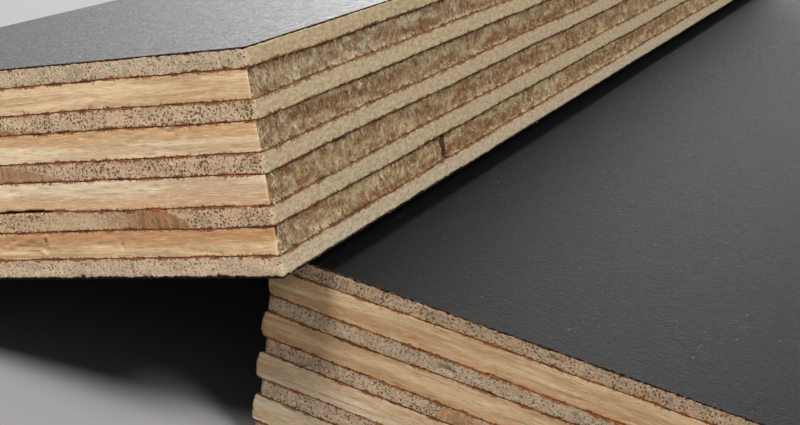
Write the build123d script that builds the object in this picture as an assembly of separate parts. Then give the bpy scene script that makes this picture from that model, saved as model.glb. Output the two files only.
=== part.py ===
from build123d import *
import math
import os

# Two film-faced plywood sheets. The lower one lies flat. The upper one laps its long left edge
# and leans on it, with its own far long edge down on the floor. All sizes are in millimetres.
# X runs across the sheets, Y along them from the near end, Z up. The origin is the middle of the
# lower sheet's underside.

# Sheets
sheet_length = 180.0
sheet_width = 60.0
film_thickness = 0.18
corner_radius = 0.35

# Veneers from the top face down. The odd ones have their grain along the sheet and the even ones
# across it, and the even ones are thicker.
upper_veneers = (1.45, 2.30, 1.64, 2.45, 1.63, 2.50, 1.71, 2.39, 1.57)
lower_veneers = (1.30, 2.55, 1.57, 2.40, 1.46, 2.50, 1.60, 2.52, 1.74)

# How the upper sheet lies on the lower one
side_lap = 5.5
front_overhang = 7.7
rest_clearance = 0.03

# Gap between two strips of one crosswise core veneer of the upper sheet
gap_veneer = 8
gap_from_near_end = 31.05
gap_width = 0.90

# The saw broke out the lower sheet's left edge: crosswise veneers stand proud with worn noses,
# and lengthwise ones have come away short of the cut
proud_ends = {2: 0.35, 4: 0.55, 6: 0.45, 8: 0.25}
short_ends = {5: 0.25, 7: 0.40, 9: 0.30}
nose_share = 0.36

# Worked out from the sizes above
upper_thickness = sum(upper_veneers) + 2 * film_thickness
lower_thickness = sum(lower_veneers) + 2 * film_thickness
lean_reach = sheet_width - side_lap
lean = math.asin(lower_thickness / math.hypot(lean_reach, rest_clearance))
lean = lean + math.atan2(rest_clearance, lean_reach)


def layers(name, veneers, top):
    """Each layer of a sheet from the top down, as (node name, veneer number, low z, thickness)."""
    rows = [(name + "_film_top", 0, top - film_thickness, film_thickness)]
    level = top - film_thickness
    for number, thickness in enumerate(veneers, start=1):
        level = level - thickness
        rows.append((f"{name}_veneer_{number}", number, level, thickness))
    rows.append((name + "_film_bottom", 0, level - film_thickness, film_thickness))
    return rows


def board(left, near, low, width, length, thickness):
    """A flat layer with its four upright corners eased."""
    middle = (left + width / 2, near + length / 2)
    outline = Pos(*middle) * RectangleRounded(width, length, corner_radius)
    return Pos(0, 0, low) * extrude(outline, thickness)


def gapped_board(left, near, low, width, length, thickness):
    """A crosswise core veneer of two strips with an open gap between them."""
    whole = board(left, near, low, width, length, thickness)
    slot = Box(3 * width, gap_width, 3 * thickness)
    slot_y = near + gap_from_near_end + gap_width / 2
    return whole - Pos(left + width / 2, slot_y, low + thickness / 2) * slot


def nosed_board(left, near, low, width, length, thickness, proud):
    """A crosswise veneer whose left end stands proud of the saw cut, with a worn nose."""
    section = Pos(left - proud + (width + proud) / 2, low + thickness / 2)
    section = section * Rectangle(width + proud, thickness)
    nose = section.vertices().sort_by(Axis.X)[:2]
    section = fillet(nose, nose_share * thickness)
    strip = extrude(Plane.XZ.offset(-near - length) * section, length)
    right_corners = strip.edges().filter_by(Axis.Z).sort_by(Axis.X)[-2:]
    return fillet(right_corners, corner_radius)


def upper_place():
    """Where the upper sheet's frame lies: its origin is on the lower sheet's top left edge."""
    edge = Pos(-sheet_width / 2, -sheet_length / 2, lower_thickness)
    return edge * Rot(0, -math.degrees(lean), 0) * Pos(0, 0, rest_clearance)


def upper_sheet():
    """The layers of the leaning sheet, in its own frame and then put in place."""
    place = upper_place()
    pieces = {}
    for node, number, low, thickness in layers("upper", upper_veneers, upper_thickness):
        make = gapped_board if number == gap_veneer else board
        flat = make(-lean_reach, -front_overhang, low, sheet_width, sheet_length, thickness)
        pieces[node] = place * flat
    return pieces


def lower_sheet():
    """The layers of the flat sheet."""
    left = -sheet_width / 2
    near = -sheet_length / 2
    pieces = {}
    for node, number, low, thickness in layers("lower", lower_veneers, lower_thickness):
        proud = proud_ends.get(number, 0)
        short = short_ends.get(number, 0)
        size = (left + short, near, low, sheet_width - short, sheet_length, thickness)
        pieces[node] = nosed_board(*size, proud) if proud else board(*size)
    return pieces


os.makedirs("parts", exist_ok=True)
for node, shape in {**upper_sheet(), **lower_sheet()}.items():
    export_step(shape, f"parts/{node}.step")
print("lean of the upper sheet in degrees:", round(math.degrees(lean), 3))
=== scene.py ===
import math

import bpy
import numpy as np
from mathutils import Euler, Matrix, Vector


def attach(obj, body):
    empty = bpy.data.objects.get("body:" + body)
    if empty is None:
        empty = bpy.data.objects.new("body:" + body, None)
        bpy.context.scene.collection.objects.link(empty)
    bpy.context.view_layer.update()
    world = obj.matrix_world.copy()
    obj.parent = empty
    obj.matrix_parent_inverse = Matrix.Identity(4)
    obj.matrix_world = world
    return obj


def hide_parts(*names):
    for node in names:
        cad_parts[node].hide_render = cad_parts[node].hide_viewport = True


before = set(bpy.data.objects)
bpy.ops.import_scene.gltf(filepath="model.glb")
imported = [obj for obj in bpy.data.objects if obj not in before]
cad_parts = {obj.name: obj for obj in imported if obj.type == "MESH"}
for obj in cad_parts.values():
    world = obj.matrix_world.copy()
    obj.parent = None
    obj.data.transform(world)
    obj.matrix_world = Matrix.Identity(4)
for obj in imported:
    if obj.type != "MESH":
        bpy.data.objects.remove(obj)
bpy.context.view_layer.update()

# Lengths in this script are millimetres until a mesh is made, and the frame is in metres.
MM = 0.001

# The camera of the photograph: its place in the row frame and its three angles in degrees
CAMERA_PLACE = (20.15, -186.59, 65.96)
CAMERA_HEADING = 22.28
CAMERA_DIP = 21.49
CAMERA_ROLL = 9.80
FOCAL_PIXELS = 1425.0
IMAGE_WIDTH = 800.0
SENSOR = 36.0

# A layer's outline: its corners' radius, the codes of its sides, and how far from the near end
# the mesh is at its finest and its next finest
CORNER_RADIUS = 0.35
NEAR, RIGHT, BACK, LEFT = 0, 1, 2, 3
NEAR_ZONE = 70.0
MIDDLE_ZONE = 130.0

# A distance that is larger than any on the sheets' edges
FAR_OFF = 9.0

# Veneers from the top face down. The thin ones have their grain along the sheet and the thick
# ones across it.
VENEERS = range(1, 10)
THICK_VENEERS = (2, 4, 6, 8)

# Colours as sRGB, 0 to 255. End grain of the thin veneers:
THIN_END = (184, 158, 131)
CHALK = (214, 198, 172)
MOTTLE = (138, 108, 82)
PORE = (92, 62, 44)
PITH = (148, 108, 74)
# Long grain of the thin veneers
THIN_LONG = (176, 158, 128)
PALE_DUST, DARK_DUST = (208, 194, 164), (138, 114, 86)
# Long grain of the thick veneers
THICK_LONG, PALE_LONG, WARM_LONG = (211, 177, 137), (228, 202, 164), (202, 158, 114)
PALE_STRAND, DARK_STRAND = (234, 212, 178), (176, 134, 94)
FLECK = (122, 74, 42)
# End grain of the thick veneers
PALE_END, DARK_END, BROWN_END = (196, 172, 138), (154, 116, 82), (140, 94, 60)
# Glue, cracks and loose fibres. The crack colour also paints the shade under the thin veneers and
# on the gap's walls
NEAR_GLUE, SIDE_GLUE, DARK_GLUE = (130, 72, 38), (118, 78, 40), (84, 46, 26)
BRIGHT_GLUE, GLUE_STAIN = (152, 106, 54), (146, 108, 66)
CRACK_GLUE_AND_SHADE = (60, 30, 12)
PALE_FIBRE, DARK_FIBRE = (236, 222, 190), (172, 140, 96)
# Films, their sawn edges and the floor
FILM, SPECK, RUB = (9, 9, 9), (126, 122, 114), (40, 39, 38)
RUBBED_PEBBLE, PEBBLE = (30, 29, 28), (22, 21, 20)
FILM_EDGE, WORN_TOP_EDGE, WORN_BOTTOM_EDGE = (16, 12, 12), (92, 72, 58), (34, 28, 24)
FLOOR = (122, 121, 120)


def linear(colour):
    """An sRGB colour of 0 to 255 as linear RGBA."""
    share = np.array(colour, float) / 255
    low = share / 12.92
    high = ((share + 0.055) / 1.055) ** 2.4
    return tuple(np.where(share <= 0.04045, low, high)) + (1.0,)


# Seeded noise

def hashed(seed, i, j):
    """A steady number from 0 to 1 for each lattice point i, j."""
    h = i.astype(np.int64) * 374761393 + j.astype(np.int64) * 668265263 + seed * 1442695041
    h = (h ^ (h >> 13)) * 1274126177
    h = (h ^ (h >> 16)) & 0xFFFFFF
    return h / float(0xFFFFFF)


def noise(x, y, seed):
    """Smooth noise from -1 to 1 with features one unit across."""
    i, j = np.floor(x), np.floor(y)
    fx, fy = x - i, y - j
    sx, sy = fx * fx * (3 - 2 * fx), fy * fy * (3 - 2 * fy)
    low = hashed(seed, i, j) * (1 - sx) + hashed(seed, i + 1, j) * sx
    high = hashed(seed, i, j + 1) * (1 - sx) + hashed(seed, i + 1, j + 1) * sx
    return 2 * (low * (1 - sy) + high * sy) - 1


def line_noise(x, seed):
    """Smooth noise along one line."""
    return noise(x, x * 0, seed)


def rough(x, y, seed, octaves):
    """Noise with finer noise on it, from about -1 to 1."""
    total, share = 0.0, 0.0
    for k in range(octaves):
        total = total + noise(x * 2 ** k, y * 2 ** k, seed + 17 * k) * 0.55 ** k
        share = share + 0.55 ** k
    return total / share


def step(low, high, x):
    """0 below low, 1 above high, smooth between."""
    t = np.clip((x - low) / (high - low), 0, 1)
    return t * t * (3 - 2 * t)


# Sheets: their axes, their outline and the levels of their layers, all read from the frame

# How far glue lines rise, wave and fray, in millimetres. Line 0 is the top film's and 9 the
# bottom film's, and both are raised and frayed.
GLUE_LINE = (0.0, 0.065, 0.016)
FILM_LINES = {0: (0.05, 0.014, 0.034), 9: (0.03, 0.02, 0.05)}


class Sheet:
    """One plywood sheet in its own axes: across, along and up, in millimetres from its corner."""

    def __init__(self, name, seed):
        self.name, self.seed = name, seed
        face = max(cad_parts[name + "_film_top"].data.polygons, key=lambda p: p.area)
        up = np.array(face.normal) * np.sign(face.normal.z)
        along = np.array((0.0, 1.0, 0.0))
        self.axes = np.array((np.cross(along, up), along, up))
        corner, far = self.span(name + "_film_bottom", np.zeros(3))
        self.origin = corner
        self.width, self.length = (far - corner)[:2]
        self.layers = {}
        for number in VENEERS:
            self.layers[number] = self.span(f"{name}_veneer_{number}", corner)
        self.top = self.span(name + "_film_top", corner)[1][2]

    def span(self, node, origin):
        """Lowest and highest corner of a CAD node in the sheet's axes."""
        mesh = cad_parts[node].data
        points = np.array([v.co for v in mesh.vertices]) @ self.axes.T / MM - origin
        return points.min(0), points.max(0)

    def place(self, points):
        """Points in the sheet's axes as points in the row frame, in metres."""
        return (np.asarray(points) + self.origin) @ self.axes * MM

    def level(self, boundary, run):
        """Height of a glue line along the outline."""
        flat = self.layers[boundary + 1][1][2] if boundary < 9 else self.layers[9][0][2]
        seed = self.seed + 31 * boundary
        wave = line_noise(run / 9.0, seed) + 0.45 * line_noise(run / 2.1, seed + 5)
        jag = line_noise(run / 0.45, seed + 9) + 0.8 * line_noise(run / 0.19, seed + 12)
        rise, waved, frayed = FILM_LINES.get(boundary, GLUE_LINE)
        return flat + rise + waved * wave + frayed * jag


UPPER = Sheet("upper", 11)
LOWER = Sheet("lower", 47)


# The outline of a layer as columns: a place, an outward direction, a run and a side's code

def spaced(length, fine, middle, coarse, reverse=False):
    """Places along a side: fine first, then wider apart."""
    places, at = [], 0.0
    while at < length:
        places.append(at)
        at += fine if at < NEAR_ZONE else middle if at < MIDDLE_ZONE else coarse
    places = np.array(places)
    return (length - places)[::-1] if reverse else places


def outline(sheet, steps, left_out=0.0):
    """Columns round a layer, starting at the near left corner and going right."""
    r = CORNER_RADIUS
    width, length = sheet.width, sheet.length
    near, right, back, left = steps
    columns = []

    def side(places, start, direction, normal, run, code):
        for p in places:
            spot = np.array(start) + np.array(direction) * p
            columns.append((*spot, *normal, run + p, code))

    def corner(centre, first, run, a, b):
        for k in range(1, 5):
            angle = first + math.pi / 2 * k / 5
            normal = (math.cos(angle), math.sin(angle))
            spot = (centre[0] + r * normal[0], centre[1] + r * normal[1])
            columns.append((*spot, *normal, run, a if k < 3 else b))

    short, long = width + left_out - 2 * r, length - 2 * r
    side(near_places(near, short), (r - left_out, 0), (1, 0), (0, -1), r - left_out, NEAR)
    corner((width - r, r), -math.pi / 2, width, NEAR, RIGHT)
    side(spaced(long, *right), (width, r), (0, 1), (1, 0), width + r, RIGHT)
    corner((width - r, length - r), 0, width + length, RIGHT, BACK)
    side(np.arange(0, short, back), (width - r, length), (-1, 0), (0, 1), width + length + r,
         BACK)
    corner((r - left_out, length - r), math.pi / 2, 2 * width + length, BACK, LEFT)
    side(spaced(long, *left, reverse=True), (-left_out, length - r), (0, -1), (-1, 0),
         2 * width + length + r, LEFT)
    corner((r - left_out, r), math.pi, 2 * (width + length), LEFT, NEAR)
    return np.array(columns)


def near_places(steps, length):
    """Places along the near side. steps is the fine part's ends, its spacing and the rest's."""
    first, last, fine, coarse = steps
    places, at = [], 0.0
    while at < length:
        places.append(at)
        at += fine if first <= at <= last else coarse
    return np.array(places)


# Marks of single places, as the photograph shows them

def inside(x, y, corners, soft):
    """1 inside a convex outline given anticlockwise, 0 outside, soft at its edge."""
    depth = np.full(np.broadcast(x, y).shape, FAR_OFF)
    for (ax, ay), (bx, by) in zip(corners, corners[1:] + corners[:1]):
        size = math.hypot(bx - ax, by - ay)
        depth = np.minimum(depth, ((bx - ax) * (y - ay) - (by - ay) * (x - ax)) / size)
    return step(-soft, soft, depth)


# Brown heartwood wedges in the end grain of the thin veneers, by sheet and veneer: an outline in
# millimetres along the near face and up from the sheet's underside, and strength
WEDGES = {
    ("upper", 3): ([(33.0, 12.4), (37.2, 12.45), (35.9, 12.9), (33.0, 13.1)], 0.9),
    ("upper", 5): ([(31.0, 8.2), (41.8, 8.25), (40.2, 8.65), (38.3, 9.25), (36.0, 9.8),
                    (31.0, 10.1)], 0.75),
    ("upper", 7): ([(42.0, 3.9), (52.6, 3.95), (51.8, 4.8), (49.6, 5.9), (42.0, 5.9)], 1.0),
    ("lower", 5): ([(16.4, 8.4), (20.6, 8.5), (20.6, 9.5), (17.4, 10.2)], 0.8),
}
# Orange bands in the long grain of the thick veneers: where in height, and strength
WARM_BANDS = {
    ("upper", 2): (-0.2, 0.15, 0.35), ("upper", 4): (0.60, 1.2, 1.0),
    ("upper", 6): (-0.2, 0.44, 0.8), ("upper", 8): (0.48, 0.92, 1.0),
    ("lower", 2): (0.0, 0.4, 0.6), ("lower", 4): (-0.2, 0.3, 0.5),
    ("lower", 6): (0.5, 0.9, 0.6), ("lower", 8): (0.2, 0.6, 0.6),
}
# Brown bands in the end grain of the upper sheet's thick veneers: where along its right side, and
# where in height as shares
BROWN_BANDS = {
    2: ((0.0, 14.0, 0.70, 1.10), (22.0, 60.0, 0.15, 0.45)),
    4: ((0.5, 26.0, 0.42, 0.80), (44.0, 80.0, 0.10, 0.45), (90.0, 150.0, 0.5, 0.9)),
    6: ((2.0, 5.5, 0.62, 1.10), (17.0, 21.0, 0.60, 1.10), (36.0, 60.0, 0.30, 0.60)),
    8: ((0.2, 9.0, 0.62, 1.10), (11.0, 31.0, -0.1, 0.30), (31.5, 52.0, 0.05, 0.55),
        (70.0, 120.0, 0.4, 0.8)),
}

# Dark glue that hangs below a glue line on the same side, by veneer: where along, how far down
BLOBS = {
    2: ((12.0, 15.5, 0.30),),
    4: ((17.5, 19.5, 0.25),),
    6: ((11.2, 13.8, 0.50), (19.0, 20.5, 0.35)),
}

# Chips that the saw tore out of the near face, by sheet and veneer: outline, as above, and depth
CHIPS = {
    ("upper", 8): (
        ([(37.1, 2.4), (37.4, 2.3), (37.5, 3.5), (37.2, 3.55)], 0.20),
        ([(33.0, 3.0), (37.2, 2.75), (37.2, 2.95), (33.0, 3.12)], 0.14),
        ([(32.4, 2.5), (36.6, 2.35), (36.6, 2.5), (32.4, 2.62)], 0.10),
        ([(33.5, 3.45), (36.4, 3.2), (36.4, 3.3), (33.5, 3.55)], 0.10),
        ([(45.05, 2.65), (45.3, 2.6), (45.35, 3.15), (45.1, 3.2)], 0.15),
        ([(41.4, 3.05), (45.1, 2.8), (45.1, 2.92), (41.4, 3.15)], 0.10),
        ([(50.9, 2.3), (54.8, 2.05), (54.8, 2.2), (50.9, 2.42)], 0.08),
    ),
    ("upper", 9): (
        ([(40.25, 0.0), (40.85, 0.0), (40.65, 0.34), (40.4, 0.36)], 0.6),
        ([(53.8, 0.0), (54.3, 0.0), (54.2, 0.27), (53.95, 0.28)], 0.6),
        ([(47.3, 0.0), (47.6, 0.0), (47.5, 0.25), (47.4, 0.25)], 0.4),
    ),
    ("lower", 3): (([(16.0, 12.9), (17.6, 12.8), (17.5, 13.3), (16.2, 13.4)], 0.10),),
}


def chipped(sheet, number, along, w):
    """How deep the near face is torn out at each point."""
    depth = np.zeros(w.shape)
    for corners, amount in CHIPS.get((sheet.name, number), ()):
        depth = np.maximum(depth, amount * inside(along, w, corners, 0.03))
    return depth


def band(x, low, high, soft_low, soft_high):
    """1 from low to high and 0 outside, with soft ends."""
    started = step(low - soft_low, low + soft_low, x)
    return started * (1 - step(high - soft_high, high + soft_high, x))


def marks(sheet, number, code, along, w, share):
    """Brown, warm, dark and smooth amounts of each point of a sawn edge. The dark amount holds
    cracks, hanging glue and painted shade.
    """
    seed = sheet.seed + 900 + number
    brown, warm, dark, smooth = (np.zeros(w.shape) for _ in range(4))
    wobble = 0.10 * line_noise(along / 6.0, seed)
    wobble = wobble + 0.03 * line_noise(along / 0.9, seed + 1)
    near, right = code == NEAR, code == RIGHT
    upper = sheet is UPPER
    if (sheet.name, number) in WEDGES:
        corners, strength = WEDGES[(sheet.name, number)]
        brown = near * strength * inside(along, w, corners, 0.07)
    if upper and number == 7:
        brown = brown * step(43.4, 48.0, along)
        smooth = near * step(38.0, 39.5, along) * (1 - step(44.0, 45.5, along))
    for first, last, low, high in BROWN_BANDS.get(number, ()) if upper else ():
        patch = right * band(along, first, last, 1.5, 3)
        brown = np.maximum(brown, patch * band(share + wobble, low, high, 0.1, 0.1))
    for first, last, drop in BLOBS.get(number, ()) if upper else ():
        ends = step(first - 0.5, first + 0.4, along)
        ends = ends * (1 - step(last - 0.6, last + 0.6, along))
        fall = drop * (0.8 + 0.5 * line_noise(along / 0.5, seed + 4))
        blob = right * ends * (1 - step(fall, fall + 0.1, (1 - share) * 2.4))
        smooth = np.maximum(smooth, blob)
    if number % 2 == 0:
        low, high, strength = WARM_BANDS[(sheet.name, number)]
        on_end = near | (code == BACK)
        warm = band(share + wobble, low, high, 0.08, 0.07) * strength * on_end
        # Painted shade: a dark strip along the top of each thick veneer on the long sides, just
        # under the thin veneer above it; and the hanging glue
        fall = 0.10 + 0.14 * line_noise(along / 3.1, seed + 2)
        fall = fall + 0.08 * line_noise(along / 0.7, seed + 3)
        side_on = right | (code == LEFT)
        dark = 0.42 * side_on * (1 - step(0.0, np.maximum(fall, 0.02), 1 - share))
        dark = np.maximum(dark, 0.75 * smooth)
    if upper and number in (6, 7):
        # The split between veneers 6 and 7
        crack = (1 - step(37.6, 39.3, along)) * step(28.0, 30.0, along) * near
        edge = share if number == 6 else 1 - share
        split = crack * (1 - step(0.0, 0.05, edge + 0.045 * line_noise(along / 1.1, 77)))
        dark = np.maximum(dark, split)
    return brown, warm, dark, smooth


# Relief of the sawn edges, in millimetres, negative into the sheet

def thin_end(run, w, seed):
    """End grain of the thin veneers: fine pores and short cracks across the layer."""
    pits = step(0.25, 0.75, rough(run / 0.17, w / 0.15, seed, 2))
    cracks = step(0.45, 0.8, noise(run / 0.22, w / 1.1, seed + 3))
    return -0.02 - 0.07 * pits - 0.05 * cracks + 0.015 * rough(run / 1.7, w / 0.9, seed + 9, 3)


def thin_long(run, w, seed):
    """Long grain of the thin veneers: nearly smooth, with faint strands along the edge."""
    strands = rough(run / 1.4, w / 0.3, seed, 3)
    return -0.012 + 0.008 * strands - 0.012 * step(0.5, 0.9, noise(run / 5, w / 0.2, seed + 4))


def thick_long(run, w, seed):
    """Long grain of the thick veneers: long shallow waves and torn strands."""
    strands = rough(run / 2.6, w / 0.2, seed, 3)
    torn = step(0.45, 0.8, rough(run / 1.6, w / 0.35, seed + 6, 2))
    return -0.035 + 0.022 * strands - 0.06 * torn


def thick_end(run, w, seed):
    """End grain of the thick veneers: fuzzy bundles that the saw left at different depths."""
    lean = run + 0.35 * w
    bundles = rough(lean / 0.42, w / 0.6, seed, 3)
    tufts = step(0.2, 0.8, rough(lean / 0.21, w / 0.26, seed + 8, 2))
    return -0.23 + 0.15 * bundles + 0.14 * tufts


def relief(sheet, number, code, run, share, w, thickness):
    """Depth of the edge surface for each column and row."""
    crosswise = number % 2 == 0
    seed = sheet.seed * 100 + number * 7
    on_end = (code == NEAR) | (code == BACK)
    if crosswise:
        depth = np.where(on_end, thick_long(run, w, seed), thick_end(run, w, seed + 40))
    else:
        depth = np.where(on_end, thin_end(run, w, seed), thin_long(run, w, seed + 40))
    above, below = (1 - share) * thickness, share * thickness
    patchy = 0.5 + 0.8 * rough(run / 1.4, w * 0, seed + 60, 2)
    # A fuzzy side is nearly flush at both rims, and is cut in a little under its upper one
    fuzzy = crosswise & ~on_end
    flush = 0.25 + 0.75 * step(0.0, 0.28, below)
    flush = flush * (0.35 + 0.65 * step(0.0, 0.25, above))
    under = 0.05 * patchy * (1 - step(0.0, 0.16, above))
    slight = 0.02 * patchy * (1 - step(0.0, 0.16, np.minimum(above, below)))
    return np.minimum(np.where(fuzzy, depth * flush - under, depth - slight), 0.0)


# The gap between two strips of the upper sheet's veneer 8

def saw_gap(along, outward, share):
    """Extra depth at the gap. Its sides are uneven."""
    uneven = 0.14 * line_noise(share * 4.0, 301)
    on_side = np.abs(outward) > 0.9
    within = (along > GAP[0] + uneven) & (along < GAP[1] + 0.7 * uneven) & on_side
    return np.where(within, -GAP_DEPTH, 0.0)


def gap_shade_and_glue(dark, code, along, share):
    """Painted shade on the gap's walls, and the glue that was squeezed out beside its top."""
    right = code == RIGHT
    # Painted shade on the walls of the gap
    painted_gap_shade = right & (along > GAP[0] - 0.2) & (along < GAP[1] + 0.2)
    dark = np.maximum(dark, 0.86 * painted_gap_shade)
    squeezed = right * step(28.4, 29.6, along) * (1 - step(32.6, 33.8, along))
    fall = 0.12 + 0.12 * line_noise(along / 0.6, 303)
    return np.maximum(dark, 0.6 * squeezed * (1 - step(fall, fall + 0.12, 1 - share)))


def find_gap():
    """The gap as two places along the sheet, read from the CAD."""
    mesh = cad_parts["upper_veneer_8"].data
    along = np.unique(np.round([v.co.y for v in mesh.vertices], 6)) / MM - UPPER.origin[1]
    inner = along[(along > 5) & (along < UPPER.length - 5)]
    return inner.min(), inner.max()


GAP = find_gap()
GAP_DEPTH = 4.0


def worn_end(sheet, number, proud, u, run, code, share):
    """How far each point of a veneer's left end is worn back. Round the corners it fades out."""
    rounding = np.sqrt(np.clip(1 - (2 * share - 1) ** 2, 0, 1))
    turn = np.where(code == NEAR, 2 * (sheet.width + sheet.length), 2 * sheet.width + sheet.length)
    run = np.where(code == LEFT, run, turn)
    rag = 0.5 + 0.5 * rough(run / 1.3, share * 2.2, sheet.seed + number, 3)
    worn = max(proud, 0.0) * (1 - rounding) + max(0.55 * proud, 0.12) * rag
    fade = np.exp(-(u + proud) / 1.1)
    return worn * np.where(code == LEFT, 1.0, np.where(code == RIGHT, 0.0, fade))


# Meshes

def add_object(name, data):
    """A new object in the scene."""
    thing = bpy.data.objects.new(name, data)
    bpy.context.scene.collection.objects.link(thing)
    return thing


def make_mesh(name, points, quads, triangles, polygons, materials):
    """A mesh object from arrays, with shared corners."""
    mesh = bpy.data.meshes.new(name)
    faces = [np.asarray(quads, int).reshape(-1, 4), np.asarray(triangles, int).reshape(-1, 3)]
    loops = [faces[0].ravel(), faces[1].ravel()] + [np.asarray(p, int) for p in polygons]
    sizes = [np.full(len(faces[0]), 4), np.full(len(faces[1]), 3)]
    sizes.append(np.array([len(p) for p in polygons], int))
    loops = np.concatenate(loops)
    sizes = np.concatenate(sizes)
    mesh.vertices.add(len(points))
    mesh.vertices.foreach_set("co", np.asarray(points, np.float32).ravel())
    mesh.loops.add(len(loops))
    mesh.loops.foreach_set("vertex_index", loops.astype(np.int32))
    mesh.polygons.add(len(sizes))
    starts = np.concatenate(([0], np.cumsum(sizes)[:-1]))
    mesh.polygons.foreach_set("loop_start", starts.astype(np.int32))
    mesh.update(calc_edges=True)
    mesh.validate()
    for material in materials:
        mesh.materials.append(material)
    return add_object(name, mesh)


def give(thing, attribute, values):
    """Stores three numbers at each point of a mesh for materials to read."""
    layer = thing.data.attributes.new(attribute, "FLOAT_VECTOR", "POINT")
    layer.data.foreach_set("vector", np.asarray(values, np.float32).ravel())


def smooth_sides(thing, count):
    """Smooth shading on the first faces, which are the sides, and flat shading on the rest."""
    flags = np.arange(len(thing.data.polygons)) < count
    thing.data.polygons.foreach_set("use_smooth", flags)


def inner_ring(columns, inset, every):
    """Some columns away from the corners, and their places moved inwards."""
    u, v, out_u, out_v, _, code = columns.T
    across = (u > u.min() + inset) & (u < u.max() - inset)
    along = (v > v.min() + inset) & (v < v.max() - inset)
    chosen = np.flatnonzero(np.where(code % 2 == 0, across, along))[::every]
    return chosen, (u - out_u * inset)[chosen], (v - out_v * inset)[chosen]


def cap(ring, chosen, names, upwards):
    """Triangles between an outer ring and the sparser ring inside it."""
    near = (np.searchsorted(chosen, np.arange(len(ring)), side="right") - 1) % len(chosen)
    after = np.roll(near, -1)
    onward = np.roll(ring, -1)
    triangles = [np.stack((ring, onward, names[near]), -1)]
    turn = after != near
    triangles.append(np.stack((onward, names[after], names[near]), -1)[turn])
    triangles = np.concatenate(triangles)
    return triangles if upwards else triangles[:, ::-1]


# Rows of points over the height of a veneer's edge
THIN_ROWS, THICK_ROWS = 11, 17

# The flat faces of a layer: how far in from its edge they start as one polygon, and how many
# columns of the edge go with one of that polygon's corners
VENEER_LID = (2.2, 12)
FILM_LID = (1.5, 8)

# Depth of the split in the near face
SPLIT_DEPTH = 0.5


def closed_layer(name, sheet, points, index, levels, columns, lid, material):
    """A layer from its grid of side points, closed above and below."""
    onward = np.roll(index, -1, 0)
    quads = np.stack((index[:, :-1], onward[:, :-1], onward[:, 1:], index[:, 1:]), -1)
    quads = quads.reshape(-1, 4)
    chosen, u, v = inner_ring(columns, *lid)
    parts, caps, lids = [points], [], []
    for level, ring, upwards in zip(levels, (index[:, 0], index[:, -1]), (False, True)):
        first = sum(len(p) for p in parts)
        names = np.arange(first, first + len(chosen))
        parts.append(np.stack((u, v, np.full(len(u), level)), -1))
        caps.append(cap(ring, chosen, names, upwards))
        lids.append(names if upwards else names[::-1])
    everything = np.concatenate(parts)
    thing = make_mesh(name, sheet.place(everything), quads, np.concatenate(caps), lids, [material])
    give(thing, "spot", everything)
    return thing, len(quads), len(everything) - len(points)


def veneer(sheet, number, steps, rows, material):
    """One veneer as a closed mesh with sawn, rough edges."""
    low, high = sheet.layers[number]
    # How far the left end stands out past the sheet's corner, less than 0 where it stops short
    proud = -low[0] - 0.001 if abs(low[0]) > 0.01 else 0.0
    columns = outline(sheet, steps, proud)
    u, v, out_u, out_v, run, code = columns.T[:, :, None]
    top, bottom = sheet.level(number - 1, run), sheet.level(number, run)
    # Rows from the lower rim to the upper one, closer together at the rims
    even = np.linspace(0, 1, rows)
    share = 0.5 * (0.5 - 0.5 * np.cos(np.pi * even)) + 0.5 * even + 0 * run
    thickness = top - bottom
    w = bottom + share * thickness
    depth = relief(sheet, number, code, run, share, w, thickness)
    gapped = sheet is UPPER and number == 8
    if gapped:
        depth = depth + saw_gap(v, out_u, share)
    code = code + 0 * w
    along = np.where(code % 2 == 0, u, v)
    brown, warm, dark, smooth = marks(sheet, number, code, along, w, share)
    on_near = code == NEAR
    depth = depth - SPLIT_DEPTH * dark * on_near - on_near * chipped(sheet, number, along, w)
    if gapped:
        dark = gap_shade_and_glue(dark, code, along, share)
    left_out = worn_end(sheet, number, proud, u, run, code, share) if sheet is LOWER else 0.0
    u = u + out_u * depth + left_out
    v = v + out_v * depth
    points = np.stack((u, v, w), -1).reshape(-1, 3)
    index = np.arange(w.size).reshape(w.shape)
    name = f"{sheet.name}_sawn_veneer_{number}"
    thing, sides, extra = closed_layer(name, sheet, points, index, (low[2], high[2]), columns,
                                       VENEER_LID, material)
    end_on = ((code == NEAR) | (code == BACK)) == (number % 2 == 1)
    above = FAR_OFF if number == 1 else (1 - share) * thickness
    below = FAR_OFF if number == 9 else share * thickness
    rim = np.minimum(above, below) + 0 * w
    facts = np.stack((end_on * 1.0, rim, smooth), -1).reshape(-1, 3)
    give(thing, "ply", np.concatenate((facts, np.tile((0.0, 0.5, 0.0), (extra, 1)))))
    facts = np.stack((brown, warm, dark), -1).reshape(-1, 3)
    give(thing, "mark", np.concatenate((facts, np.zeros((extra, 3)))))
    smooth_sides(thing, sides)
    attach(thing, "root")
    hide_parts(f"{sheet.name}_veneer_{number}")


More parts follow.
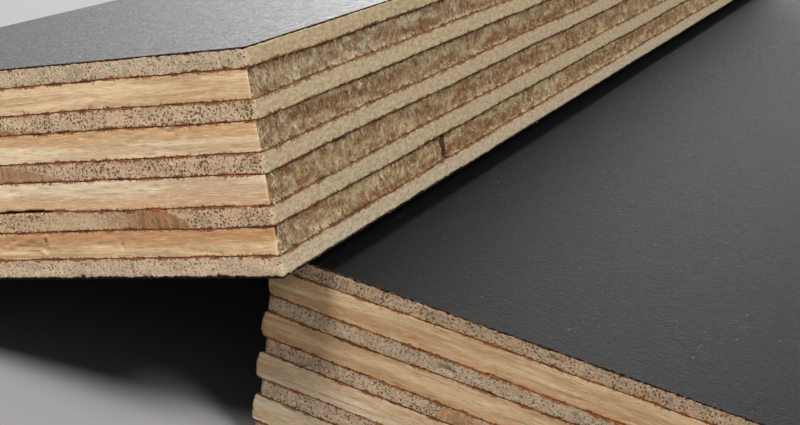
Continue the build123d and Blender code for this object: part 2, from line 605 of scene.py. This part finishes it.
def film(sheet, top, material):
    """A face film as a thin closed skin with a slightly chipped rim."""
    columns = outline(sheet, FILM_STEPS)
    u, v, out_u, out_v, run, _ = columns.T
    inner_level = sheet.level(0 if top else 9, run)
    face = sheet.top if top else 0.0
    seed = sheet.seed + (3 if top else 5)
    chips = step(0.55, 0.9, rough(run / 0.8, run * 0, seed, 3))
    depth = -0.012 - 0.05 * chips * (1 if top else 1.6)
    depth = depth - 0.01 * np.abs(line_noise(run / 0.2, seed))
    # Three rings of points, from the glue line to the face, whose rim is drawn in a little
    levels = (inner_level, inner_level * 0.25 + face * 0.75, face + 0 * run)
    rings = []
    for level, inward in zip(levels, (depth, depth, depth - 0.03)):
        rings.append(np.stack((u + out_u * inward, v + out_v * inward, level), -1))
    if not top:
        rings = rings[::-1]
    points = np.concatenate(rings)
    index = np.arange(len(points)).reshape(3, -1).T
    inner_face = sheet.layers[1][1][2] if top else sheet.layers[9][0][2]
    flat = (min(face, inner_face), max(face, inner_face))
    end = "top" if top else "bottom"
    name = f"{sheet.name}_pressed_film_{end}"
    thing, sides, _ = closed_layer(name, sheet, points, index, flat, columns, FILM_LID, material)
    thing.data.materials.append(TOP_FILM_EDGE if top else BOTTOM_FILM_EDGE)
    on_edge = np.arange(len(thing.data.polygons)) < sides
    thing.data.polygons.foreach_set("material_index", on_edge * 1)
    smooth_sides(thing, 0)
    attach(thing, "root")
    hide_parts(f"{sheet.name}_film_{end}")


# Materials

# Where a mix node has its colour sockets
MIX_FIRST, MIX_SECOND, MIX_RESULT = 6, 7, 2


class Nodes:
    """Short ways to add and join the nodes of a material or of the world."""

    def __init__(self, owner):
        self.owner = owner
        owner.use_nodes = True
        self.tree = owner.node_tree

    def put(self, value, socket):
        """Sets a socket to a constant, or joins an output to it."""
        if isinstance(value, (int, float, tuple)):
            socket.default_value = value
        else:
            self.tree.links.new(value, socket)

    def add(self, kind, inputs, **settings):
        """A node with its settings. inputs gives each input a constant or another's output."""
        node = self.tree.nodes.new(kind)
        for key, value in settings.items():
            setattr(node, key, value)
        for key, value in inputs.items():
            self.put(value, node.inputs[key])
        return node

    def attribute(self, name):
        """Three numbers at each point of the mesh, see give."""
        return self.add("ShaderNodeAttribute", {}, attribute_name=name).outputs["Vector"]

    def parts(self, name):
        """The same three numbers one by one."""
        return self.add("ShaderNodeSeparateXYZ", {0: self.attribute(name)}).outputs

    def mapped(self, vector, change, value):
        """A vector scaled or turned. change is Scale or Rotation."""
        return self.add("ShaderNodeMapping", {"Vector": vector, change: value}).outputs[0]

    def noise(self, vector, scale, detail, roughness, distortion=0.0):
        """Noise with as many features per millimetre along each axis as scale says."""
        inputs = {"Vector": self.mapped(vector, "Scale", scale), "Scale": 1.0, "Detail": detail,
                  "Roughness": roughness, "Distortion": distortion}
        return self.add("ShaderNodeTexNoise", inputs).outputs["Fac"]

    def cells(self, vector, scale):
        """Distance to the nearest of scattered points, for pores, flecks and specks."""
        inputs = {"Vector": self.mapped(vector, "Scale", scale), "Scale": 1.0}
        return self.add("ShaderNodeTexVoronoi", inputs).outputs["Distance"]

    def ramp(self, value, low, high, first=0.0, last=1.0):
        """Smooth change from first, where the value is low, to last, where it is high."""
        inputs = {"Value": value, "From Min": low, "From Max": high,
                  "To Min": first, "To Max": last}
        node = self.add("ShaderNodeMapRange", inputs, interpolation_type="SMOOTHSTEP")
        return node.outputs["Result"]

    def maths(self, operation, a, b):
        """One step of arithmetic."""
        return self.add("ShaderNodeMath", {0: a, 1: b}, operation=operation).outputs[0]

    def times(self, a, b):
        """A product."""
        return self.maths("MULTIPLY", a, b)

    def mix(self, share, a, b):
        """Colour a turning into colour b as share goes from 0 to 1."""
        inputs = {"Factor": share, MIX_FIRST: a, MIX_SECOND: b}
        return self.add("ShaderNodeMix", inputs, data_type="RGBA").outputs[MIX_RESULT]

    def over(self, colour, other, value, *limits):
        """Another colour laid over one, as much as a ramp of the value says."""
        return self.mix(self.ramp(value, *limits), colour, other)

    def bump(self, height, strength, distance, before=None):
        """A bumpy surface, on top of another one if there is one before it."""
        inputs = {"Strength": strength, "Distance": distance, "Height": height}
        if before is not None:
            inputs["Normal"] = before
        return self.add("ShaderNodeBump", inputs).outputs["Normal"]

    def finish(self, settings):
        """Gives the shader its colour and surface, and returns the material."""
        for key, value in settings.items():
            self.put(value, self.tree.nodes["Principled BSDF"].inputs[key])
        return self.owner


def tint(colour, factor):
    """A colour made lighter or darker, by one factor or by one for each of red, green and blue."""
    return linear(np.clip(np.array(colour) * np.array(factor), 0, 255))


def glue_lines(n, colour, spot, rim, near, near_reach, side_reach):
    """Glue at a layer's rims, uneven, with blobs and drips. near is 1 on the near face.

    The reaches are how far from the rim the line comes there and at the sides, in millimetres.
    """
    fine = n.noise(spot, (4.0, 4.0, 4.0), 3, 0.7)
    blobs = n.noise(spot, (0.7, 0.7, 0.7), 3, 0.7)
    reach = n.ramp(near, 0.0, 1.0, side_reach, near_reach)
    width = n.times(n.ramp(blobs, 0.40, 0.62, 0.4, 1.8), reach)
    width = n.times(width, n.ramp(fine, 0.3, 0.7, 0.3, 1.7))
    line = n.ramp(n.maths("SUBTRACT", rim, width), -0.02, 0.05, 1.0, 0.0)
    shade = n.ramp(n.noise(spot, (0.45, 0.45, 0.9), 3, 0.6), 0.36, 0.62)
    glue = n.mix(shade, linear(DARK_GLUE), n.mix(near, linear(SIDE_GLUE), linear(NEAR_GLUE)))
    glue = n.over(glue, linear(BRIGHT_GLUE), fine, 0.53, 0.70, 0.0, 0.75)
    drip = n.ramp(n.noise(spot, (1.6, 1.6, 0.7), 3, 0.7), 0.50, 0.70, 0.02, 0.40)
    stain = n.ramp(n.maths("SUBTRACT", rim, drip), -0.06, 0.08, 0.6, 0.0)
    colour = n.mix(stain, colour, linear(GLUE_STAIN))
    return n.mix(n.times(line, 0.95), colour, glue)


def finish_wood(n, colour, dark, surface):
    """Darkens cracks, hanging and squeezed-out glue, and the painted shade under the thin veneers
    and on the gap's walls, and finishes a material with a dull surface.
    """
    colour = n.mix(dark, colour, linear(CRACK_GLUE_AND_SHADE))
    return n.finish({"Base Color": colour, "Roughness": 0.8, "Specular IOR Level": 0.2,
                     "Normal": surface})


def lengthwise(name, tone, side, pores):
    """A thin veneer, its grain along the sheet. tone is for end grain and side for long grain."""
    n = Nodes(bpy.data.materials.new(name))
    spot = n.attribute("spot")
    end, rim, smooth = n.parts("ply")
    brown, _, dark = n.parts("mark")
    # End grain: broad tones, chalky mottle, clusters of pores, and pith
    broad = n.ramp(n.noise(spot, (0.35, 0.02, 0.8), 3, 0.6), 0.3, 0.7)
    ends = n.mix(broad, tint(THIN_END, 0.92 * tone), tint(THIN_END, 1.08 * tone))
    mottle = n.noise(spot, (5.0, 0.5, 4.4), 4, 0.75)
    ends = n.over(ends, tint(CHALK, tone), mottle, 0.50, 0.66, 0.0, 0.75)
    ends = n.over(ends, tint(MOTTLE, tone), mottle, 0.34, 0.47, 0.7, 0.0)
    cluster = n.noise(spot, (0.5, 0.04, 0.6), 3, 0.65)
    reach = n.ramp(cluster, 0.38, 0.60, 0.10 + 0.14 * pores, 0.20 + 0.24 * pores)
    uneven = n.ramp(n.noise(spot, (4.6, 0.3, 4.6), 3, 0.7), 0.35, 0.65, -0.20, 0.16)
    reach = n.maths("ADD", reach, uneven)
    pore = n.cells(spot, (4.2, 0.3, 3.8))
    hole = n.ramp(n.maths("SUBTRACT", reach, pore), -0.08, 0.08)
    quiet = n.ramp(n.maths("MAXIMUM", smooth, brown), 0.0, 0.6, 1.0, 0.1)
    hole = n.times(hole, quiet)
    ends = n.mix(n.times(hole, 0.85), ends, linear(PORE))
    veins = n.noise(spot, (2.2, 0.1, 0.5), 4, 0.65, 0.8)
    pith = n.mix(n.ramp(veins, 0.35, 0.7), tint(PITH, 0.88), tint(PITH, 1.18))
    ends = n.mix(brown, ends, pith)
    # Long grain: soft streaks with saw dust on them
    grain = n.ramp(n.noise(spot, (2.0, 1.2, 3.0), 4, 0.7), 0.36, 0.64)
    longs = n.mix(grain, tint(THIN_LONG, 0.88 * side), tint(THIN_LONG, 1.08 * side))
    dust = n.noise(spot, (4.6, 4.2, 4.6), 3, 0.8)
    longs = n.over(longs, tint(PALE_DUST, side), dust, 0.53, 0.66, 0.0, 0.7)
    longs = n.over(longs, tint(DARK_DUST, side), dust, 0.34, 0.46, 0.6, 0.0)
    colour = n.mix(end, longs, ends)
    colour = glue_lines(n, colour, spot, rim, end, near_reach=0.11, side_reach=0.11)
    low = n.maths("ADD", n.times(hole, -1.0), n.times(mottle, 0.8))
    surface = n.bump(n.times(low, end), 0.8, 0.00018)
    surface = n.bump(dust, 0.4, 0.00007, surface)
    return finish_wood(n, colour, dark, surface)


# Blotches, bundles and fuzz over the end grain of the thick veneers: each one's noise, and its two
# colours with where in that noise and how strongly they show. The dark colours are partly the
# wood's own and partly painted shade between the bundles and tufts.
END_LAYERS = (
    (((0.5, 0.9, 1.1), 4, 0.7, 0.4), ((116, 78, 46), 0.34, 0.48, 0.75, 0.0),
     ((212, 194, 164), 0.54, 0.68, 0.0, 0.6)),
    (((0.5, 2.6, 0.9), 4, 0.78, 0.8), ((106, 70, 42), 0.34, 0.46, 0.6, 0.0),
     ((210, 192, 160), 0.54, 0.68, 0.0, 0.65)),
    (((1.0, 4.6, 2.2), 3, 0.8, 1.6), ((234, 222, 198), 0.56, 0.68, 0.0, 0.7),
     ((90, 58, 34), 0.32, 0.44, 0.5, 0.0)),
)


def crosswise(name, tone, side):
    """A thick veneer, its grain across the sheet. tone is for long grain and side for end grain."""
    n = Nodes(bpy.data.materials.new(name))
    spot = n.attribute("spot")
    end, rim, _ = n.parts("ply")
    brown, warm, dark = n.parts("mark")
    # Long grain: flowing tones, fine strands, and rare dark flecks
    flow = n.ramp(n.noise(spot, (0.08, 0.7, 1.1), 3, 0.55, 0.4), 0.38, 0.62)
    longs = n.mix(flow, tint(THICK_LONG, 0.93 * tone), tint(PALE_LONG, tone))
    longs = n.mix(warm, longs, tint(WARM_LONG, tone))
    strand = n.noise(spot, (0.8, 3.0, 7.5), 4, 0.75, 0.3)
    longs = n.over(longs, tint(DARK_STRAND, tone), strand, 0.50, 0.68, 0.0, 0.7)
    longs = n.over(longs, tint(PALE_STRAND, tone), strand, 0.32, 0.48, 0.7, 0.0)
    fleck = n.ramp(n.cells(spot, (0.8, 1.6, 2.6)), 0.03, 0.15, 1.0, 0.0)
    rare = n.ramp(n.noise(spot, (0.5, 0.9, 0.9), 2, 0.5), 0.56, 0.66)
    longs = n.mix(n.times(fleck, rare), longs, linear(FLECK))
    # End grain: patches, and the layers over them
    patches = n.ramp(n.noise(spot, (0.3, 0.3, 0.8), 3, 0.65, 0.3), 0.40, 0.60)
    ends = n.mix(patches, tint(DARK_END, side), tint(PALE_END, side))
    ends = n.mix(n.times(brown, 0.85), ends, tint(BROWN_END, side))
    layers = []
    for settings, *tints in END_LAYERS:
        layers.append(n.noise(spot, *settings))
        for shade, *limits in tints:
            ends = n.over(ends, tint(shade, side), layers[-1], *limits)
    _, bundles, fuzz = layers
    colour = n.mix(end, longs, ends)
    near = n.maths("SUBTRACT", 1.0, end)
    colour = glue_lines(n, colour, spot, rim, near, near_reach=0.09, side_reach=0.13)
    surface = n.bump(n.times(bundles, end), 1.0, 0.0006)
    surface = n.bump(n.times(fuzz, end), 1.0, 0.0003, surface)
    surface = n.bump(strand, 0.4, 0.0001, surface)
    return finish_wood(n, colour, dark, surface)


# The angle of the upper film's rubs in radians
RUB_ANGLE = -0.2


def film_material(name, roughness, level, rubbed):
    """Dark phenolic film, pebbled by the press, with specks and faint rubs."""
    n = Nodes(bpy.data.materials.new(name))
    spot = n.attribute("spot")
    cloud = n.noise(spot, (0.05, 0.03, 0.05), 4, 0.6)
    colour = n.mix(cloud, tint(FILM, 0.8), tint(FILM, 1.3))
    pebble = n.noise(spot, (2.8, 2.8, 2.8), 4, 0.8)
    if rubbed:
        turned = n.mapped(spot, "Rotation", (0, 0, RUB_ANGLE))
        streaks = n.noise(turned, (0.15, 2.6, 1.0), 4, 0.75)
        rubs = n.noise(turned, (0.75, 0.6, 1.0), 4, 0.8)
        colour = n.over(colour, linear(RUBBED_PEBBLE), pebble, 0.44, 0.68, 0.0, 0.8)
        colour = n.over(colour, linear(RUB), streaks, 0.42, 0.60)
        dull = n.ramp(rubs, 0.40, 0.56, roughness - 0.08, roughness + 0.16)
        surface = n.bump(rubs, 0.9, 0.0002, n.bump(pebble, 0.9, 0.00009))
    else:
        waves = n.noise(spot, (2.0, 0.15, 1.0), 3, 0.7)
        colour = n.over(colour, linear(PEBBLE), pebble, 0.44, 0.68, 0.0, 0.8)
        dull = n.ramp(pebble, 0.35, 0.7, roughness - 0.04, roughness + 0.08)
        surface = n.bump(waves, 0.2, 0.0001, n.bump(pebble, 0.9, 0.00034))
    dots = n.ramp(n.cells(spot, (1.5, 1.5, 1.5)), 0.05, 0.13, 1.0, 0.0)
    rare = n.ramp(n.noise(spot, (0.6, 0.6, 0.6), 2, 0.5), 0.52, 0.66)
    colour = n.mix(n.times(dots, rare), colour, linear(SPECK))
    return n.finish({"Base Color": colour, "Roughness": dull, "Specular IOR Level": level,
                     "Normal": surface})


def two_toned(name, first, second, grain, limits, finish):
    """A simple material of two colours, the second where the noise is above its limits."""
    n = Nodes(bpy.data.materials.new(name))
    share = n.ramp(n.noise(n.attribute("spot"), *grain), *limits)
    return n.finish({"Base Color": n.mix(share, linear(first), linear(second)), **finish})


def floor_material():
    """A quiet studio surface."""
    n = Nodes(bpy.data.materials.new("pale_floor"))
    grain = n.noise(n.add("ShaderNodeTexCoord", {}).outputs["Object"], (60, 60, 60), 2, 0.5)
    colour = n.mix(grain, tint(FLOOR, 0.99), tint(FLOOR, 1.01))
    return n.finish({"Base Color": colour, "Roughness": 0.9})


# Loose fibres that the saw left standing on the sheets' edges

def fibres(sheet, name, places, seed, longest, thick, lying):
    """Short curved strands as tapering three-sided tubes. lying is how far they turn up or down."""
    random = np.random.default_rng(seed)
    count, segments = len(places), 3
    root = places[:, :3]
    out = np.concatenate((places[:, 3:5], np.zeros((count, 1))), 1)
    side = np.stack((-out[:, 1], out[:, 0], np.zeros(count)), 1)
    up = np.array((0, 0, 1.0))
    sign = np.where(random.uniform(0, 1, (count, 1)) < 0.5, -1.0, 1.0)
    aim = out * random.uniform(0.1, 0.6, (count, 1)) + side * random.normal(0, 0.38, (count, 1))
    aim = aim + up * sign * lying * random.uniform(0.3, 1.0, (count, 1))
    aim = aim / np.linalg.norm(aim, axis=1, keepdims=True)
    droop = side * random.normal(0, 0.5, (count, 1)) - up * 0.3
    size = random.uniform(0.25, 1.0, (count, 1)) ** 1.6 * longest
    girth = random.uniform(0.5, 1.0, (count, 1)) * thick
    points, faces = [], []
    for k in range(segments + 1):
        t = k / segments
        centre = root + (aim * t + droop * t * t * 0.6) * size
        for c in range(3):
            angle = 2 * math.pi * c / 3
            around = side * math.cos(angle) + out * math.sin(angle)
            points.append(centre + around * girth * (1 - 0.85 * t))
    points = np.stack(points, 1)
    # A strand that would stand out past the near end is moved in whole
    points[:, :, 1] += np.maximum(0.02 - points[:, :, 1].min(1, keepdims=True), 0)
    per = 3 * (segments + 1)
    base = np.arange(count)[:, None] * per
    for k in range(segments):
        for c in range(3):
            d = (c + 1) % 3
            faces.append(base + np.array((3 * k + c, 3 * k + d, 3 * k + 3 + d, 3 * k + 3 + c)))
    quads = np.concatenate(faces)
    ends = np.concatenate((base + np.array((2, 1, 0)), base + per - 3 + np.array((0, 1, 2))))
    flat = points.reshape(-1, 3)
    thing = make_mesh(name, sheet.place(flat), quads, ends, [], [FIBRE_MATERIAL])
    give(thing, "spot", flat)
    smooth_sides(thing, len(thing.data.polygons))
    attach(thing, "root")


# Pale dry fibres, and the films' sawn edges: black and dull, with paler worn places
FIBRE_MATERIAL = two_toned("loose_fibres", PALE_FIBRE, DARK_FIBRE, ((1.5, 1.5, 1.5), 2, 0.5),
                           (0.3, 0.7), {"Roughness": 0.6})
FILM_EDGE_LOOK = (((2.4, 2.4, 2.4), 3, 0.75), (0.46, 0.62),
                  {"Roughness": 0.9, "Specular IOR Level": 0.05})
TOP_FILM_EDGE = two_toned("top_film_edge", FILM_EDGE, WORN_TOP_EDGE, *FILM_EDGE_LOOK)
BOTTOM_FILM_EDGE = two_toned("bottom_film_edge", FILM_EDGE, WORN_BOTTOM_EDGE, *FILM_EDGE_LOOK)

# Dense tufts on each thick veneer's right end: how many, how far along the first and last, the
# share of the strands in them, and their spread along and in height
TUFTS = 16
TUFTS_FIRST, TUFTS_REACH = 0.6, 20.0
TUFTED_SHARE = 0.42
TUFT_LENGTH, TUFT_HEIGHT = 0.17, 0.07


def spots(along, u, w, outward):
    """Places as rows of across, along, up, outward u, which is 1 or -1, and outward v."""
    ones = np.ones(len(along))
    return np.stack((u * ones, along, w, outward * ones, 0 * ones), 1)


def right_side_spots(sheet, seed, count, reach):
    """Random places on the end grain of a sheet's right side, some of them in tufts."""
    random = np.random.default_rng(seed)
    rows = []
    for number in THICK_VENEERS:
        low, high = sheet.layers[number]
        along = reach * random.uniform(0, 1, count) ** 1.6 + 0.4
        along = along + 0.7 * line_noise(along / 0.9, seed + number)
        share = random.uniform(0, 1, count)
        share = np.where(random.uniform(0, 1, count) < 0.4, np.round(share), share)
        tuft = random.integers(0, TUFTS, count)
        tuft_along = TUFTS_REACH * random.uniform(0, 1, TUFTS) ** 1.3 + TUFTS_FIRST
        tuft_share = random.uniform(0.1, 0.9, TUFTS)
        tufted = random.uniform(0, 1, count) < TUFTED_SHARE
        spread = random.normal(0, TUFT_LENGTH, count)
        along = np.where(tufted, tuft_along[tuft] + spread, along)
        spread = random.normal(0, TUFT_HEIGHT, count)
        share = np.where(tufted, tuft_share[tuft] + spread, share)
        w = low[2] + (high[2] - low[2]) * np.clip(share, 0.05, 0.95)
        rows.append(spots(np.abs(along), sheet.width - 0.16, w, 1))
    return np.concatenate(rows)


def left_side_spots(sheet, seed, count, reach):
    """Random places on the broken left ends of the thick veneers."""
    random = np.random.default_rng(seed)
    rows = []
    for number in THICK_VENEERS:
        low, high = sheet.layers[number]
        along = reach * random.uniform(0, 1, count) ** 1.5 + 0.3
        w = low[2] + (high[2] - low[2]) * random.uniform(0.1, 0.9, count)
        rows.append(spots(along, low[0] + 0.2, w, -1))
    return np.concatenate(rows)


def lower_edge_spots(sheet, seed, count, reach):
    """Places along the bottom of a sheet's right side, where the saw left a fringe."""
    random = np.random.default_rng(seed)
    along = reach * random.uniform(0, 1, count) ** 1.5 + 0.2
    w = random.uniform(0.12, 0.4, count)
    return spots(along, sheet.width - 0.03, w, 1)


# Making the pieces

# Spacing of a layer's columns in millimetres: near side as near_places takes it, right side as
# spaced takes it, back, and left side
UPPER_STEPS = {
    "thin": ((22, 60, 0.12, 0.45), (0.25, 0.5, 1.0), 0.45, (0.8, 0.8, 0.8)),
    "thick": ((22, 60, 0.14, 0.6), (0.12, 0.26, 0.6), 0.6, (0.5, 0.5, 0.5)),
}
FILM_STEPS = ((0, 60, 0.12, 0.12), (0.15, 0.4, 0.8), 0.5, (0.5, 0.5, 0.8))
LOWER_STEPS = {
    "thin": ((0, 46, 0.12, 0.45), (0.8, 0.8, 0.8), 0.45, (0.4, 0.8, 0.8)),
    "thick": ((0, 46, 0.25, 0.6), (0.5, 0.5, 0.5), 0.6, (0.22, 0.5, 0.5)),
}
# How each veneer in turn differs in red, green and blue, on the near face and on the long sides.
# The lower sheet's tones are darker throughout as painted shade, for the less light it gets than
# the upper sheet
NEAR_TONES = {
    "upper": ((0.97, 0.99, 0.985), (0.94, 0.92, 0.90), (1.01, 1.00, 0.96),
              (0.95, 0.96, 0.965), (1.00, 0.975, 0.95), (0.95, 0.965, 0.99),
              (0.985, 0.955, 0.91), (0.89, 0.85, 0.81), (1.01, 1.015, 1.01)),
    "lower": ((0.85, 0.83, 0.80), (0.825, 0.80, 0.76), (0.87, 0.87, 0.86),
              (0.82, 0.785, 0.74), (0.92, 0.91, 0.89), (0.875, 0.895, 0.92),
              (0.955, 0.955, 0.95), (0.875, 0.915, 0.95), (0.95, 0.95, 0.95)),
}
SIDE_TONES = {
    "upper": ((0.94, 0.92, 0.88), (1.09, 1.12, 1.12), (0.965, 0.955, 0.93),
              (1.05, 1.05, 1.01), (0.96, 0.945, 0.94), (1.07, 1.06, 1.00),
              (0.96, 0.955, 0.94), (1.12, 1.13, 1.08), (0.99, 0.99, 1.01)),
    # Painted shade: the lower sheet's long sides are darkened alike
    "lower": 9 * ((0.93, 0.93, 0.93),),
}
# How open the pores of each thin veneer are
PORES = {
    "upper": {1: 0.25, 3: 0.9, 5: 0.9, 7: 0.7, 9: 0.2},
    "lower": {1: 0.8, 3: 0.35, 5: 0.6, 7: 0.6, 9: 0.5},
}
# Roughness and specular level of each sheet's films
FILM_FINISH = {"upper": (0.42, 0.48), "lower": (0.58, 0.074)}


def build_sheet(sheet, steps):
    """All eleven layers of one sheet."""
    for number in VENEERS:
        tone = np.array(NEAR_TONES[sheet.name][number - 1])
        side = np.array(SIDE_TONES[sheet.name][number - 1])
        if number % 2:
            pores = PORES[sheet.name][number]
            material = lengthwise(f"{sheet.name}_lengthwise_{number}", tone, side, pores)
            veneer(sheet, number, steps["thin"], THIN_ROWS, material)
        else:
            material = crosswise(f"{sheet.name}_crosswise_{number}", tone, side)
            veneer(sheet, number, steps["thick"], THICK_ROWS, material)
    material = film_material(f"{sheet.name}_film", *FILM_FINISH[sheet.name], sheet is UPPER)
    film(sheet, True, material)
    film(sheet, False, material)


build_sheet(UPPER, UPPER_STEPS)
build_sheet(LOWER, LOWER_STEPS)
fibres(UPPER, "upper_saw_fibres", right_side_spots(UPPER, seed=5, count=1700, reach=120.0),
       seed=6, longest=0.72, thick=0.032, lying=0.9)
fibres(UPPER, "upper_edge_fringe", lower_edge_spots(UPPER, seed=8, count=500, reach=60.0),
       seed=9, longest=0.30, thick=0.012, lying=0.4)
fibres(LOWER, "lower_torn_fibres", left_side_spots(LOWER, seed=12, count=260, reach=60.0),
       seed=13, longest=0.32, thick=0.018, lying=0.5)


# Stage, light and camera

# Half the floor's width, and the lamps' common target, in metres
FLOOR_REACH = 3.0
TARGET = (-0.02, -0.08, 0.02)
# Lamps: name, place and width in metres, and power in watts
LAMPS = (
    ("left_lamp", (-0.16, -0.40, 0.62), 0.25, 5.8),
    ("right_lamp", (0.42, -0.25, 0.62), 0.25, 5.1),
    ("back_lamp", (-0.36, 0.80, 0.53), 0.6, 18.0),
)
# The world's strength as a fill and as it is seen, and its share of the seen one in reflections
FILL_STRENGTH, SEEN_STRENGTH, MIRRORED_SHARE = 0.22, 0.92, 0.3


def add_floor():
    """A plain floor under the sheets."""
    r = FLOOR_REACH
    corners = [(-r, -r, 0), (r, -r, 0), (r, r, 0), (-r, r, 0)]
    floor = make_mesh("floor", corners, [(0, 1, 2, 3)], [], [], [floor_material()])


def add_lamp(name, place, size, power):
    """A round soft lamp that faces the target."""
    data = bpy.data.lights.new(name, "AREA")
    data.shape, data.size, data.energy = "DISK", size, power
    lamp = add_object(name, data)
    lamp.location = place
    lamp.rotation_euler = (Vector(TARGET) - Vector(place)).to_track_quat("-Z", "Y").to_euler()


def add_world():
    """White to the camera, less so in reflections, and a faint fill for everything else."""
    n = Nodes(bpy.data.worlds.new("studio"))
    fill = n.tree.nodes["Background"]
    n.put((0.95, 0.97, 1.0, 1.0), fill.inputs["Color"])
    n.put(FILL_STRENGTH, fill.inputs["Strength"])
    inputs = {"Color": (1.0, 0.98, 0.95, 1.0), "Strength": SEEN_STRENGTH}
    seen = n.add("ShaderNodeBackground", inputs)
    ray = n.add("ShaderNodeLightPath", {}).outputs
    inputs = {0: ray["Is Glossy Ray"], 1: MIRRORED_SHARE, 2: ray["Is Camera Ray"]}
    either = n.add("ShaderNodeMath", inputs, operation="MULTIPLY_ADD")
    inputs = {0: either.outputs[0], 1: fill.outputs[0], 2: seen.outputs[0]}
    mix = n.add("ShaderNodeMixShader", inputs)
    n.put(mix.outputs[0], n.tree.nodes["World Output"].inputs["Surface"])
    bpy.context.scene.world = n.owner


def add_camera():
    """The camera of the photograph."""
    data = bpy.data.cameras.new("camera")
    data.sensor_width = SENSOR
    data.lens = FOCAL_PIXELS / IMAGE_WIDTH * SENSOR
    data.clip_start = 0.005
    data.clip_end = 20.0
    camera = add_object("camera", data)
    camera.location = [c * MM for c in CAMERA_PLACE]
    heading = Euler((0, 0, math.radians(CAMERA_HEADING))).to_matrix()
    dip = Euler((math.radians(90 - CAMERA_DIP), 0, 0)).to_matrix()
    roll = Euler((0, 0, math.radians(CAMERA_ROLL))).to_matrix()
    camera.rotation_euler = (heading @ dip @ roll).to_euler()
    bpy.context.scene.camera = camera


add_floor()
for lamp_settings in LAMPS:
    add_lamp(*lamp_settings)
add_world()
add_camera()
bpy.context.scene.view_settings.view_transform = "Standard"
